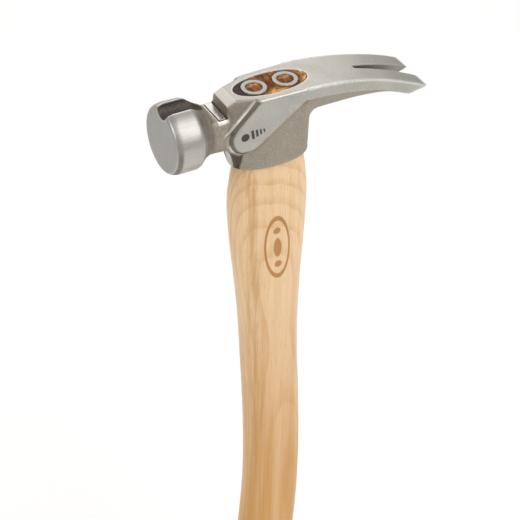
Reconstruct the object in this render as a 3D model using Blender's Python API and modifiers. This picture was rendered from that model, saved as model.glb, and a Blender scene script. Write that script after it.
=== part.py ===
"""Curved-handle framing claw hammer.

+Z runs up the handle, +X points to the claws, -X to the striking face, and the
hammer is symmetric about the XZ plane. The origin is the centre of the flat butt
end. The head is drawn in its own frame, whose origin is on the eye axis and the
head's top plane: HEAD_X ahead of the origin and HEIGHT above it.
"""
import math

import bmesh
import bpy
from mathutils import Matrix, Vector

MM = 0.001

# ---- overall -------------------------------------------------------------
HEIGHT = 432.0          # butt end to the head's top plane
HEAD_X = 14.0           # eye axis, towards the claws from the butt's centre
GAP = 0.3               # clearance between neighbouring pieces

# ---- striking end --------------------------------------------------------
FACE_X = -57.2          # plane of the striking face
POLL_R = 17.5
FACE_R = POLL_R - 1.3
POLL_Z = -15.8          # axis of poll and neck below the top plane
POLL_EDGE = 2.6         # length of the rolled edge behind the face
POLL_BACK_X = -43.4     # where the turned poll ends
NECK_START_X = -37.5
NECK_HALF_W = 10.2
NECK_HALF_H = 12.0
GROOVE_R = 4.7          # round nail groove along the top of the poll
GROOVE_Z = POLL_Z + POLL_R - 0.5

# ---- nail starter behind the poll ----------------------------------------
POCKET_FRONT_X = -34.8
POCKET_BACK_X = -26.7   # wall that the nail head rests on
POCKET_Z = -7.8
SLOT_FRONT_X = -31.2
SLOT_HALF_Y = 8.0
SLOT_DEPTH = 3.0
MAGNET_PROUD = 0.2

# ---- eye hardware --------------------------------------------------------
RING_R = 6.35
RING_BORE_R = 4.1
RING_LENGTH = 16.0
RING_SPACE = 4.15       # between the two rings
FRONT_ROOM = 4.15       # eye's front end to the front ring
REAR_ROOM = 4.9
SIDE_ROOM = 2.35        # rings to the sides of the eye
FILLER_DEPTH = 9.0
FILLER_REACH = 0.9      # the resin ends this far ahead of the front ring's centre

# ---- eye and collar ------------------------------------------------------
# The eye is sized around its two rings, and the collar around the eye.
EYE_X = 0.3
EYE_A = (FRONT_ROOM + 4 * RING_R + RING_SPACE + REAR_ROOM) / 2   # half length at the top
EYE_B = RING_R + SIDE_ROOM
EYE_TAPER = 0.88        # bottom size over top size
END_WALL = 1.7          # collar wall at the eye's two ends
SIDE_WALL = 2.6
COLLAR_A = EYE_A + END_WALL     # half length along X
COLLAR_B = EYE_B + SIDE_WALL    # half width along Y
COLLAR_POWER = 2.3      # 2 is an ellipse, more is squarer
COLLAR_Z = -41.0        # bottom of the collar
COLLAR_TOP = -4.0
COLLAR_FLARE = 0.6      # the collar is this much longer at its top, each end
RING_FRONT_X = EYE_X - EYE_A + FRONT_ROOM + RING_R
RING_REAR_X = EYE_X + EYE_A - REAR_ROOM - RING_R
FILLER_EDGE_X = RING_FRONT_X - FILLER_REACH

# ---- claws ---------------------------------------------------------------
CLAW_TIP_X = 81.0
CLAW_ARC_X = 9.5        # the top line starts to curve down here
CLAW_ARC_R = 165.0
EDGE = 0.8              # broken top edge
NOTCH_END_X = 46.2
NOTCH_END_W = 1.3       # half width at the closed end
NOTCH_TIP_W = 4.25      # half width between the tips

# ---- handle --------------------------------------------------------------
TENON_TOP = -0.5
SHOULDER_Z = COLLAR_Z - GAP     # top of the handle's shoulder
SHOULDER_STEP_A = 2.2   # the shoulder is this much smaller than the collar
SHOULDER_STEP_B = 1.4

for old in list(bpy.data.objects):
    bpy.data.objects.remove(old, do_unlink=True)

parts = bpy.data.collections.new("claw_hammer")
cutters = bpy.data.collections.new("cutters")
bpy.context.scene.collection.children.link(parts)
bpy.context.scene.collection.children.link(cutters)
HEAD_FRAME = Matrix.Translation((HEAD_X * MM, 0, HEIGHT * MM))


# ---- helpers -------------------------------------------------------------
def material(name, colour, rough, metal):
    mat = bpy.data.materials.new(name)
    mat.use_nodes = True
    shader = mat.node_tree.nodes["Principled BSDF"]
    shader.inputs["Base Color"].default_value = (*colour, 1.0)
    shader.inputs["Roughness"].default_value = rough
    shader.inputs["Metallic"].default_value = metal
    return mat


def add(name, bm, where, mat=None):
    """Turn a bmesh in millimetres of the head frame into a placed object."""
    bmesh.ops.recalc_face_normals(bm, faces=bm.faces)
    bmesh.ops.scale(bm, vec=(MM, MM, MM), verts=bm.verts)
    mesh = bpy.data.meshes.new(name)
    bm.to_mesh(mesh)
    bm.free()
    ob = bpy.data.objects.new(name, mesh)
    ob.matrix_world = HEAD_FRAME
    where.objects.link(ob)
    if mat:
        mesh.materials.append(mat)
    if where is cutters:
        ob.hide_render = True
        ob.display_type = 'WIRE'
    return ob


def combine(target, tool, operation):
    mod = target.modifiers.new(tool.name, 'BOOLEAN')
    mod.operation = operation
    mod.solver = 'EXACT'
    mod.object = tool
    return mod


def smooth(points, t):
    """Value at t of a smooth curve through (position, value) points."""
    if t <= points[0][0]:
        return points[0][1]
    for i in range(len(points) - 1):
        (x0, v0), (x1, v1) = points[i], points[i + 1]
        if t <= x1:
            before = points[i - 1] if i else None
            after = points[i + 2] if i + 2 < len(points) else None
            s0 = (v1 - before[1]) / (x1 - before[0]) if before else (v1 - v0) / (x1 - x0)
            s1 = (after[1] - v0) / (after[0] - x0) if after else (v1 - v0) / (x1 - x0)
            h, u = x1 - x0, (t - x0) / (x1 - x0)
            return ((2 * u**3 - 3 * u**2 + 1) * v0 + (u**3 - 2 * u**2 + u) * h * s0
                    + (3 * u**2 - 2 * u**3) * v1 + (u**3 - u**2) * h * s1)
    return points[-1][1]


def oval(half_a, half_b, power=2.0, count=64):
    """Closed superellipse |x/a|^n + |y/b|^n = 1."""
    out = []
    for i in range(count):
        c, s = math.cos(2 * math.pi * i / count), math.sin(2 * math.pi * i / count)
        out.append((half_a * math.copysign(abs(c) ** (2 / power), c),
                    half_b * math.copysign(abs(s) ** (2 / power), s)))
    return out


def loft(rings):
    """Skin equal-length rings of 3-D points and close both ends."""
    bm = bmesh.new()
    loops = [[bm.verts.new(p) for p in ring] for ring in rings]
    n = len(rings[0])
    for low, high in zip(loops, loops[1:]):
        for i in range(n):
            j = (i + 1) % n
            bm.faces.new((low[i], low[j], high[j], high[i]))
    bm.faces.new(loops[0][::-1])
    bm.faces.new(loops[-1])
    return bm


def hull(points):
    """Convex solid around a few corner points."""
    bm = bmesh.new()
    made = [bm.verts.new(p) for p in points]
    out = bmesh.ops.convex_hull(bm, input=made)
    spare = [v for v in out["geom_interior"] if isinstance(v, bmesh.types.BMVert)]
    if spare:
        bmesh.ops.delete(bm, geom=spare, context='VERTS')
    bmesh.ops.dissolve_limit(bm, angle_limit=0.01, verts=bm.verts, edges=bm.edges)
    return bm


def prism(outline, z0, z1, x0=0.0):
    """Upright prism over a flat outline."""
    return loft([[(x0 + x, y, z) for x, y in outline] for z in (z0, z1)])


def block(x0, x1, y0, y1, z0, z1):
    bm = bmesh.new()
    bmesh.ops.create_cube(bm, size=1.0)
    bmesh.ops.scale(bm, vec=(x1 - x0, y1 - y0, z1 - z0), verts=bm.verts)
    bmesh.ops.translate(bm, vec=((x0 + x1) / 2, (y0 + y1) / 2, (z0 + z1) / 2), verts=bm.verts)
    return bm


def rod(radius, length, centre, along='Z', sides=48):
    bm = bmesh.new()
    bmesh.ops.create_cone(bm, cap_ends=True, segments=sides, radius1=radius,
                          radius2=radius, depth=length)
    if along == 'X':
        bmesh.ops.rotate(bm, verts=bm.verts, matrix=Matrix.Rotation(math.pi / 2, 3, 'Y'))
    bmesh.ops.translate(bm, vec=centre, verts=bm.verts)
    return bm


def mirrored(points):
    return [(x, s * y, z) for x, y, z in points for s in (1, -1)]


# ---- shapes of the head --------------------------------------------------
def top_line(x):
    if x <= CLAW_ARC_X:
        return 0.0
    return math.sqrt(CLAW_ARC_R**2 - (x - CLAW_ARC_X)**2) - CLAW_ARC_R


HALF_WIDTH = [(-6, 12.55), (18, 13.34), (24, 13.3), (36, 13.1), (54, 13.15), (70, 14.0),
              (81, 14.6)]
CHEEK_END_X = 14.4
SIDE_LOW = [(-6, -7.0), (13, -6.8), (20, -6.8), (31, -8.0), (42.5, -10.1), (56, -13.7),
            (66, -17.6), (71, -19.8)]
BELLY = [(-6, -25), (12, -22.5), (17, -19.8), (22, -18.7), (34, -18.5), (46, -18.4),
         (58, -18.9), (66, -19.6), (71, -20.0)]
CHISEL_X = 71.0
TIP_THICK = 1.2


def cheek_half_width(x):
    return 12.4 + 0.033 * (x + 10.5)


def claw_ring(x):
    """Slice of the claws at x: flat top, broken edges, sides and a tapered belly."""
    top = top_line(x)
    w = cheek_half_width(x) if x < 18 else smooth(HALF_WIDTH, x)
    if x < CHEEK_END_X - 0.5:
        w -= 0.25
    side, belly = smooth(SIDE_LOW, x), smooth(BELLY, x)
    if x > CHISEL_X:
        u = (x - CHISEL_X) / (CLAW_TIP_X - CHISEL_X)
        end = top_line(CLAW_TIP_X) - TIP_THICK
        side = (1 - u) * SIDE_LOW[-1][1] + u * end
        belly = (1 - u) * BELLY[-1][1] + u * (end - 0.05)
    edge = min(EDGE, 0.35 * (top - side))
    keel = 5.6 + 2.4 * max(0.0, min(1.0, (x - 40) / 30))
    flank_y, flank_z = 0.72 * w, side + 0.62 * (belly - side)
    half = [(w - edge, top), (w, top - edge), (w, side), (flank_y, flank_z), (keel, belly)]
    return [(x, y, z) for y, z in half] + [(x, -y, z) for y, z in reversed(half)]


def eye_ring(z, inset, count):
    """Oval of the eye at height z, drawn in by inset."""
    k = 1 - (1 - EYE_TAPER) * z / COLLAR_Z
    return [(EYE_X + x, y, z)
            for x, y in oval(k * EYE_A - inset, k * EYE_B - inset, 2.1, count)]


def neck_ring(x, half_w, half_h, power, drop=0.0, count=48):
    return [(x, y, POLL_Z - drop + z) for y, z in oval(half_w, half_h, power, count)]


steel = material("forged_steel", (0.42, 0.40, 0.36), 0.42, 0.9)
ring_steel = material("wedge_steel", (0.62, 0.60, 0.55), 0.35, 0.95)
hickory = material("hickory", (0.80, 0.60, 0.38), 0.5, 0.0)
resin = material("black_resin", (0.03, 0.022, 0.016), 0.5, 0.0)
magnet_steel = material("magnet", (0.50, 0.48, 0.45), 0.35, 0.8)

# Poll: a turned profile about the X axis, with the rolled edge behind the face.
profile = [(0.001, FACE_X), (FACE_R, FACE_X), (FACE_R + 0.8, FACE_X + 0.45 * POLL_EDGE),
           (POLL_R, FACE_X + POLL_EDGE), (POLL_R, POLL_BACK_X), (POLL_R - 0.8, POLL_BACK_X + 0.8),
           (13.2, NECK_START_X - 1.5), (12.0, NECK_START_X), (0.001, NECK_START_X)]
bm = bmesh.new()
line = [bm.verts.new((r, 0, -x)) for r, x in profile]
for a, b in zip(line, line[1:]):
    bm.edges.new((a, b))
poll = add("poll_body", bm, cutters)
spin = poll.modifiers.new("turn", 'SCREW')
spin.axis = 'Z'
spin.steps = spin.render_steps = 72
spin.use_merge_vertices = True
spin.merge_threshold = 0.00001
spin.use_normal_calculate = True
poll.matrix_world = HEAD_FRAME @ Matrix.Translation((0, 0, POLL_Z * MM)) @ \
    Matrix.Rotation(-math.pi / 2, 4, 'Y')

# Neck: round behind the poll, squarer under the block, flared into the collar.
neck = add("neck_body", loft([
    neck_ring(-41.5, 13.0, 13.6, 2.0), neck_ring(-38.0, 11.8, 12.9, 2.1, 0.3),
    neck_ring(-35.0, 10.7, 12.2, 2.3, 0.5), neck_ring(-31.0, NECK_HALF_W, NECK_HALF_H, 2.5, 0.7),
    neck_ring(-26.5, NECK_HALF_W, 12.1, 2.6, 0.8), neck_ring(-24.0, 10.3, 12.9, 2.6, 1.6),
    neck_ring(-22.2, 10.4, 14.2, 2.6, 2.9), neck_ring(-20.9, 10.3, 16.6, 2.6, 5.2),
    neck_ring(-20.4, 9.9, 17.8, 2.6, 6.6), neck_ring(-14.0, 9.6, 17.9, 2.6, 7.0)]), cutters)

# Collar: upright superellipse with a broken lower edge.
ring = oval(COLLAR_A, COLLAR_B, COLLAR_POWER, 72)
low = oval(COLLAR_A - 1.0, COLLAR_B - 0.9, COLLAR_POWER, 72)
collar = add("head", loft([[(x, y, COLLAR_Z) for x, y in low],
                           [(x, y, COLLAR_Z + 0.9) for x, y in ring],
                           [(x, y, COLLAR_TOP) for x, y in
                            oval(COLLAR_A + COLLAR_FLARE, COLLAR_B, COLLAR_POWER, 72)]]),
             parts, steel)

# Block at the front of the eye: flat top, nose chamfer and splayed sides.
front_block = add("front_block", hull(mirrored([
    (POCKET_BACK_X + 4.8, 6.75, 0), (POCKET_BACK_X + 2.3, 6.95, -1.2),
    (POCKET_BACK_X, 7.0, -2.3), (POCKET_BACK_X, 7.0, -9.5),
    (-12.7, 9.9, 0), (-23.3, 10.0, -9.5), (-23.3, 8.0, -16), (6, 11.6, 0), (6, 10.5, -16)])),
    cutters)

# Raised cheek: a leaning plate with a wide bevel along its front.
CHEEK = [(CHEEK_END_X, -EDGE), (-10.6, -EDGE), (-21.9, -12.7), (-24.0, -14.9), (-25.5, -18.4),
         (-24.8, -22.5), (-22.9, -25.5), (-20.6, -26.9), (-17.0, -27.3), (-13.8, -26.6),
         (-11.6, -25.2), (10.2, -7.6), (CHEEK_END_X, -5.4)]
CHEEK_BASE = [(CHEEK_END_X, 0), (-12.7, 0), (-24.2, -11.2), (-26.6, -14.2), (-27.8, -18.6),
              (-26.6, -23.8), (-24.2, -27.2), (-20.8, -28.9), (-16.6, -29.2), (-12.6, -28.2),
              (-10.2, -26.2), (10.6, -9.4), (CHEEK_END_X, -7.2)]

cheek = add("cheek", hull(mirrored(
    [(x, cheek_half_width(x), z) for x, z in CHEEK]
    + [(x, cheek_half_width(x) - EDGE, 0) for x in (CHEEK_END_X, -10.6)]
    + [(x, 9.9, z) for x, z in CHEEK_BASE])), cutters)

stations = [-4, 4, CHEEK_END_X - 0.6, CHEEK_END_X, 18, 21, 22, 23, 24.5, 26, 30, 34, 38, 42, 46,
            50, 54, 58, 62, 66, 69, CHISEL_X, 75, 78, CLAW_TIP_X]
claws = add("claws", loft([claw_ring(x) for x in stations]), cutters)

for body in (front_block, cheek, claws, neck, poll):
    combine(collar, body, 'UNION')
head = collar

# Eye: a tapered oval hole, widest at the top.
eye = add("eye", loft([eye_ring(COLLAR_Z - 6, 0, 72), eye_ring(6, 0, 72)]), cutters)

# V between the claws, rounded at its closed end.
arc = [(NOTCH_END_X + NOTCH_END_W * (1 - math.cos(a)), NOTCH_END_W * math.sin(a))
       for a in (math.radians(d) for d in range(0, 91, 18))]
arc.append((CLAW_TIP_X + 3, NOTCH_TIP_W + 0.25))
notch = add("claw_notch", prism(arc + [(x, -y) for x, y in reversed(arc[1:])], -40, 8), cutters)

groove = add("nail_groove", rod(GROOVE_R, 34, (FACE_X + 12, 0, GROOVE_Z), 'X'), cutters)
pocket = add("nail_head_pocket", block(POCKET_FRONT_X, POCKET_BACK_X, -16, 16, POCKET_Z, 4),
             cutters)
slot = add("magnet_slot", block(SLOT_FRONT_X, POCKET_BACK_X, -SLOT_HALF_Y, SLOT_HALF_Y,
                                POCKET_Z - SLOT_DEPTH, 4), cutters)
for tool in (eye, notch, groove, pocket, slot):
    combine(head, tool, 'DIFFERENCE')

# Nail starter magnet: a bar across the neck, held in its slot.
magnet = add("nail_magnet", block(SLOT_FRONT_X + GAP, POCKET_BACK_X - GAP, GAP - SLOT_HALF_Y,
                                  SLOT_HALF_Y - GAP, POCKET_Z - SLOT_DEPTH + GAP,
                                  POCKET_Z + MAGNET_PROUD), parts, magnet_steel)
bevel = magnet.modifiers.new("edges", 'BEVEL')
bevel.width = 0.35 * MM
bevel.segments = 2

# ---- handle --------------------------------------------------------------
# Centre line and half sizes, by distance below the head's top plane, for a hammer
# 432 mm tall. Below the grip's top, at 250, they stretch with HEIGHT.
GRIP_TOP = 250.0
HANDLE_X = [(-SHOULDER_Z, 0.4), (62, 0.5), (87, 1.2), (113, 2.2), (140, 3.5), (168, 4.9), (197, 6.9),
            (227, 8.4), (250, 8.9), (273, 8.5), (300, 6.9), (340, 2.4), (380, -4.0), (432, -HEAD_X)]
HANDLE_A = [(-SHOULDER_Z, COLLAR_A - SHOULDER_STEP_A), (45, 19.2), (50, 20.0),
            (62, 21.3), (75, 21.1), (87, 20.4), (113, 18.1), (140, 16.4),
            (168, 15.8), (212, 15.8), (258, 16.0), (287, 16.4), (330, 16.5), (370, 16.4),
            (395, 17.2), (418, 19.2), (432, 19.0)]
HANDLE_B = [(-SHOULDER_Z, COLLAR_B - SHOULDER_STEP_B), (50, 11.0), (62, 12.0),
            (100, 12.3), (150, 11.8), (200, 11.7), (300, 12.1), (370, 12.2), (418, 13.6), (432, 13.4)]
BUTT_ROUND = 4.0


def handle_ring(depth, shrink=0.0, count=56):
    t = depth
    if depth > GRIP_TOP:
        t = GRIP_TOP + (depth - GRIP_TOP) * (432.0 - GRIP_TOP) / (HEIGHT - GRIP_TOP)
    x, a, b = (smooth(c, t) for c in (HANDLE_X, HANDLE_A, HANDLE_B))
    return [(x + u, v, -depth) for u, v in oval(a - shrink, b - shrink, 2.15, count)]


rings = []
for i in range(5):
    a = math.radians(90 * i / 4)
    rings.append(handle_ring(HEIGHT - BUTT_ROUND * (1 - math.cos(a)), BUTT_ROUND * (1 - math.sin(a))))
depth = HEIGHT - BUTT_ROUND
steps = 44
for i in range(1, steps + 1):
    rings.append(handle_ring(depth + (-SHOULDER_Z - depth) * i / steps))
for z in (SHOULDER_Z, -30.0, TENON_TOP):
    rings.append(eye_ring(z, GAP, 56))
handle = add("handle", loft(rings), parts, hickory)

for name, x in (("front", RING_FRONT_X), ("rear", RING_REAR_X)):
    wall = rod(RING_R, RING_LENGTH, (x, 0, -RING_LENGTH / 2), sides=40)
    ring_part = add("ring_wedge_" + name, wall, parts, ring_steel)
    bore = add("bore_" + name, rod(RING_BORE_R, 3 * RING_LENGTH, (x, 0, 0), sides=32), cutters)
    combine(ring_part, bore, 'DIFFERENCE')
    # The ring's seat in the wood is an annular slot.
    seat = add("seat_" + name, rod(RING_R + GAP, 30, (x, 0, 15 - RING_LENGTH - GAP), sides=40),
               cutters)
    core = add("core_" + name, rod(RING_BORE_R - GAP, 80, (x, 0, 0), sides=32), cutters)
    combine(seat, core, 'DIFFERENCE')
    combine(handle, seat, 'DIFFERENCE')

# Resin in front of the wood, around the front ring.
filler = add("eye_filler", loft([eye_ring(-FILLER_DEPTH, GAP, 72), eye_ring(-0.35, GAP, 72)]),
             parts, resin)
back_half = add("filler_back", block(FILLER_EDGE_X, 40, -20, 20, -30, 10), cutters)
ring_room = add("filler_ring_room", rod(RING_R + GAP, 60, (RING_FRONT_X, 0, 0), sides=40), cutters)
combine(filler, back_half, 'DIFFERENCE')
combine(filler, ring_room, 'DIFFERENCE')
front_room = add("filler_room", block(-40, FILLER_EDGE_X + GAP, -20, 20, -FILLER_DEPTH - GAP, 10),
                 cutters)
keep_core = add("filler_core", rod(RING_R - 1.0, 80, (RING_FRONT_X, 0, 0), sides=32), cutters)
combine(front_room, keep_core, 'DIFFERENCE')
combine(handle, front_room, 'DIFFERENCE')

bpy.context.view_layer.update()
for ob in parts.objects:
    ob.data.shade_smooth()
    ob.data.set_sharp_from_angle(angle=math.radians(32))
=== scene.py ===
"""Looks of a curved-handle framing claw hammer, laid out as a Blender add-on.

The head is one forged surface worked out from distances to its plain shapes, which
melt into each other with fillets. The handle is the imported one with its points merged,
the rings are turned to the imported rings' boxes, and resin and magnet stay as packed.
"""
import functools
import itertools
import math

import bpy
import numpy as np
from bpy.props import FloatProperty, FloatVectorProperty, PointerProperty
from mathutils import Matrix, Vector


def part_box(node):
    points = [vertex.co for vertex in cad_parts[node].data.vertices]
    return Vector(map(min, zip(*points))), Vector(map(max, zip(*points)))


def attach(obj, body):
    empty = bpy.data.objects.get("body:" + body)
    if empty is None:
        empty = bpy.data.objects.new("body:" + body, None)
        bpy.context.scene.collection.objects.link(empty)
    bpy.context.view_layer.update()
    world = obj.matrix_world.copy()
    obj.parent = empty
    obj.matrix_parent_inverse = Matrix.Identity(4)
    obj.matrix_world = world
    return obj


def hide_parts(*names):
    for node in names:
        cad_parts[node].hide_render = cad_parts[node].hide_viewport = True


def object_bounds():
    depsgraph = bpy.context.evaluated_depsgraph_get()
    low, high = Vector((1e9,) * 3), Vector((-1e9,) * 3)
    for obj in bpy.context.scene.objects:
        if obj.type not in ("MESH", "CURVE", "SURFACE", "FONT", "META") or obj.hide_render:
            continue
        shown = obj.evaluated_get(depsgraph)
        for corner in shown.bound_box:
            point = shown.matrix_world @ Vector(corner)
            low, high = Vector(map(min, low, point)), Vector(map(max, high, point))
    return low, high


bl_info = {
    "name": "Claw Hammer",
    "version": (1, 0, 0),
    "blender": (4, 5, 0),
    "location": "View3D > Sidebar > Hammer",
    "description": "Builds the looks of a hickory-handled framing hammer",
    "category": "Add Mesh",
}

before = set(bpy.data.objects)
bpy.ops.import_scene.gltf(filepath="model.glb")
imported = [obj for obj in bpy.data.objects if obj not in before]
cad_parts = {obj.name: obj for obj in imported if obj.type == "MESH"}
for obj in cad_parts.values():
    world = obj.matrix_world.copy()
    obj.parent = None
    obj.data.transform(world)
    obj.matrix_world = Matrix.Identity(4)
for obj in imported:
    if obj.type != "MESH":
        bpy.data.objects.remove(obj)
CAD_LOW, CAD_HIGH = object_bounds()
MM = 0.001
RING_AHEAD = 8.5  # the front ring's centre, ahead of the eye's axis
RING_BORE = 4.1  # inner radius of the rings

# The head's own frame in millimetres: its origin is on the eye axis and top plane.
RING_LOW, RING_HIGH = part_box("ring_wedge_front")
REAR_LOW, REAR_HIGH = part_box("ring_wedge_rear")
HEAD_LOW, HEAD_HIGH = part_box("head")
RING_X = [(RING_LOW.x + RING_HIGH.x) / 2, (REAR_LOW.x + REAR_HIGH.x) / 2]
RING_R = (RING_HIGH.x - RING_LOW.x) / 2
HEAD_X = RING_X[0] + RING_AHEAD * MM
TOP_Z = RING_HIGH.z
HEAD_PLACE = np.array([HEAD_X, 0, TOP_Z])
FACE_X = (HEAD_LOW.x - HEAD_X) / MM
CLAW_TIP_X = (HEAD_HIGH.x - HEAD_X) / MM
POLL_R = HEAD_HIGH.y / MM
COLLAR_Z = (HEAD_LOW.z - TOP_Z) / MM


def length(name, value, text, low=0.0):
    return FloatProperty(name=name, default=value, min=low, unit='LENGTH', description=text)


def colour(name, value, text):
    return FloatVectorProperty(name=name, default=value, size=3, min=0, max=1,
                               subtype='COLOR', description=text)


class HammerHeadSettings(bpy.types.PropertyGroup):
    pitch: length("Grid pitch", 0.00048, "Spacing of the grid that the head is read from")
    edge: length("Edge radius", 0.0007, "Rounding of the ground outer edges")
    claw_fillet: length("Claw fillet", 0.0042, "Fillet from the collar to the claws")
    neck_fillet: length("Neck fillet", 0.003, "Fillet from the neck to the poll")
    share: FloatProperty(name="Triangle share", default=0.8, min=0.05, max=1.0,
                         description="Share of the head's triangles kept")
    cast: colour("Cast skin", (0.42, 0.375, 0.305), "Blasted skin of collar and neck")
    ground: colour("Ground steel", (0.49, 0.475, 0.435), "Ground top, cheeks and claws")
    turned: colour("Turned steel", (0.48, 0.463, 0.43), "Satin poll and striking face")
    # The recess tone below is painted shade for hollows, undersides and creases.
    recess_shade: colour("Recess shade", (0.055, 0.042, 0.03), "Painted shade in the recesses")


class HammerHandleSettings(bpy.types.PropertyGroup):
    pale: colour("Pale wood", (0.80, 0.555, 0.325), "Early wood")
    late: colour("Late wood", (0.63, 0.355, 0.135), "Darker line of each growth ring")
    low: colour("Lower wood", (0.53, 0.24, 0.03), "Deeper tone toward the grip's end")
    pore: colour("Pores", (0.40, 0.215, 0.085), "Short pores along the grain")
    burnt: colour("Burnt mark", (0.42, 0.17, 0.025), "Heat-stamped mark")
    ring_width: length("Growth ring", 0.0024, "Width of one growth ring", 0.0005)
    end_light: colour("End grain", (0.74, 0.34, 0.10), "Light end grain in the eye")
    end_dark: colour("Crushed grain", (0.12, 0.028, 0.006), "End grain crushed by the rings")


class HammerFittingSettings(bpy.types.PropertyGroup):
    ring_edge: length("Ring edge", 0.00035, "Rounding of the tubular rings' edges")
    ring_steel: colour("Ring steel", (0.42, 0.41, 0.385), "Bright tube steel")
    resin: colour("Resin", (0.030, 0.021, 0.014), "Black-brown filler in the eye")
    magnet: colour("Magnet", (0.62, 0.60, 0.56), "Plated magnet bar")


class HammerStageSettings(bpy.types.PropertyGroup):
    lens: FloatProperty(name="Lens", default=132.47, min=20, description="Lens in mm")
    place: FloatVectorProperty(name="Camera place", default=(-0.37004, -0.66176, 0.91954),
                               size=3, subtype='TRANSLATION', unit='LENGTH',
                               description="Where the camera stands")
    turn: FloatVectorProperty(name="Camera turn", default=(0.9105, -0.0268, -0.5028),
                              size=3, subtype='EULER', unit='ROTATION',
                              description="How the camera is turned")
    floor: colour("Floor", (0.94, 0.94, 0.94), "Pale studio floor")
    floor_size: length("Floor size", 6.0, "Side of the square floor", 1.0)
    sky: FloatProperty(name="Fill light", default=0.5, min=0, description="Strength of the room")


# ---- small helpers -------------------------------------------------------
def put(name, verts, faces):
    """A mesh object from arrays of points in metres and of corner numbers."""
    mesh = bpy.data.meshes.new(name)
    verts = np.asarray(verts, dtype=np.float32)
    faces = np.asarray(faces, dtype=np.int32)
    sides = faces.shape[1]
    mesh.vertices.add(len(verts))
    mesh.vertices.foreach_set("co", verts.ravel())
    mesh.loops.add(faces.size)
    mesh.loops.foreach_set("vertex_index", faces.ravel())
    mesh.polygons.add(len(faces))
    mesh.polygons.foreach_set("loop_start", np.arange(0, faces.size, sides, dtype=np.int32))
    mesh.update(calc_edges=True)
    mesh.validate()
    ob = bpy.data.objects.new(name, mesh)
    bpy.context.scene.collection.objects.link(ob)
    return ob


def read(items, name):
    """One row of three numbers for each of a mesh's points or faces."""
    flat = np.empty(len(items) * 3, np.float32)
    items.foreach_get(name, flat)
    return flat.reshape(-1, 3).astype(float)


def attribute(mesh, name, values):
    mesh.attributes.new(name, 'FLOAT', 'POINT').data.foreach_set(
        "value", np.asarray(values, dtype=np.float32))


def shade(tone, share):
    """The colour with each channel times share."""
    return tuple(share * c for c in tone)


def ramp(value, start, width):
    """0 at start and 1 a width further on; a width below 0 runs the other way."""
    return np.clip((value - start) / width, 0, 1)


class Nodes:
    """Short hand for building a material's nodes."""

    def __init__(self, name):
        self.material = bpy.data.materials.new(name)
        self.material.use_nodes = True
        self.tree = self.material.node_tree
        self.shader = self.tree.nodes["Principled BSDF"]
        self.coords = self.add("ShaderNodeTexCoord").outputs["Object"]

    def feed(self, socket, value):
        """Joins a socket to another node's output, or sets its value."""
        if isinstance(value, bpy.types.NodeSocket):
            self.tree.links.new(value, socket)
        else:
            socket.default_value = value

    def add(self, kind, inputs=None, **settings):
        new = self.tree.nodes.new(kind)
        for key, value in settings.items():
            setattr(new, key, value)
        for key, value in (inputs or {}).items():
            self.feed(new.inputs[key], value)
        return new

    def math(self, operation, a, b=0.0, clamp=False):
        return self.add("ShaderNodeMath", {0: a, 1: b}, operation=operation,
                        use_clamp=clamp).outputs[0]

    plus = functools.partialmethod(math, 'ADD')
    minus = functools.partialmethod(math, 'SUBTRACT')
    times = functools.partialmethod(math, 'MULTIPLY')
    over = functools.partialmethod(math, 'DIVIDE')
    larger = functools.partialmethod(math, 'MAXIMUM')
    unsigned = functools.partialmethod(math, 'ABSOLUTE')

    def hypot(self, a, b):
        """Root of a squared plus b squared."""
        return self.math('SQRT', self.plus(self.math('POWER', a, 2.0),
                                           self.math('POWER', b, 2.0)))

    def split(self, vector=None):
        """The three parts of a vector, or of the place on the object."""
        whole = self.coords if vector is None else vector
        return tuple(self.add("ShaderNodeSeparateXYZ", {"Vector": whole}).outputs)

    def mapped(self, scale=(1, 1, 1), turn=(0, 0, 0), shift=(0, 0, 0), vector=None):
        whole = self.coords if vector is None else vector
        return self.add("ShaderNodeMapping", {"Vector": whole, "Scale": scale,
                                              "Rotation": turn, "Location": shift}).outputs[0]

    def noise(self, vector, scale, detail, rough):
        return self.add("ShaderNodeTexNoise", {"Vector": vector, "Scale": scale,
                                               "Detail": detail, "Roughness": rough}).outputs[0]

    def steps(self, value, low, high, to_low=0.0, to_high=1.0):
        """A smooth step from to_low at low to to_high at high."""
        return self.add("ShaderNodeMapRange", {0: value, 1: low, 2: high, 3: to_low, 4: to_high},
                        interpolation_type='SMOOTHSTEP').outputs[0]

    def falls(self, value, low, high):
        """A smooth step from 1 at low to 0 at high."""
        return self.steps(value, low, high, 1.0, 0.0)

    def blend(self, factor, a, b):
        """From colour a to colour b; each is a socket or three channels."""
        def fill(v):
            return v if isinstance(v, bpy.types.NodeSocket) else (*v, 1.0)
        return self.add("ShaderNodeMix", {0: factor, 6: fill(a), 7: fill(b)},
                        data_type='RGBA', blend_type='MIX').outputs[2]

    def field(self, name):
        return self.add("ShaderNodeAttribute", attribute_name=name).outputs["Fac"]

    def finish(self, base, rough, metal, bump=None, strength=0.0, depth=0.0, **sockets):
        """Feeds the shader. Other sockets are named with _ for each space."""
        self.feed(self.shader.inputs["Base Color"], base)
        self.feed(self.shader.inputs["Roughness"], rough)
        self.feed(self.shader.inputs["Metallic"], metal)
        for key, value in sockets.items():
            self.feed(self.shader.inputs[key.replace("_", " ")], value)
        if bump is not None:
            made = self.add("ShaderNodeBump", {"Height": bump, "Strength": strength,
                                               "Distance": depth})
            self.feed(self.shader.inputs["Normal"], made.outputs[0])
        return self.material


# The top of the claws is an arc; CHISEL_X is where their thin tips begin.
CLAW_ARC_X, CLAW_ARC_R = 9.5, 165.0
CLAW_START_X, CHISEL_X, TIP_THICK = -5, 71.0, 1.2
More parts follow.
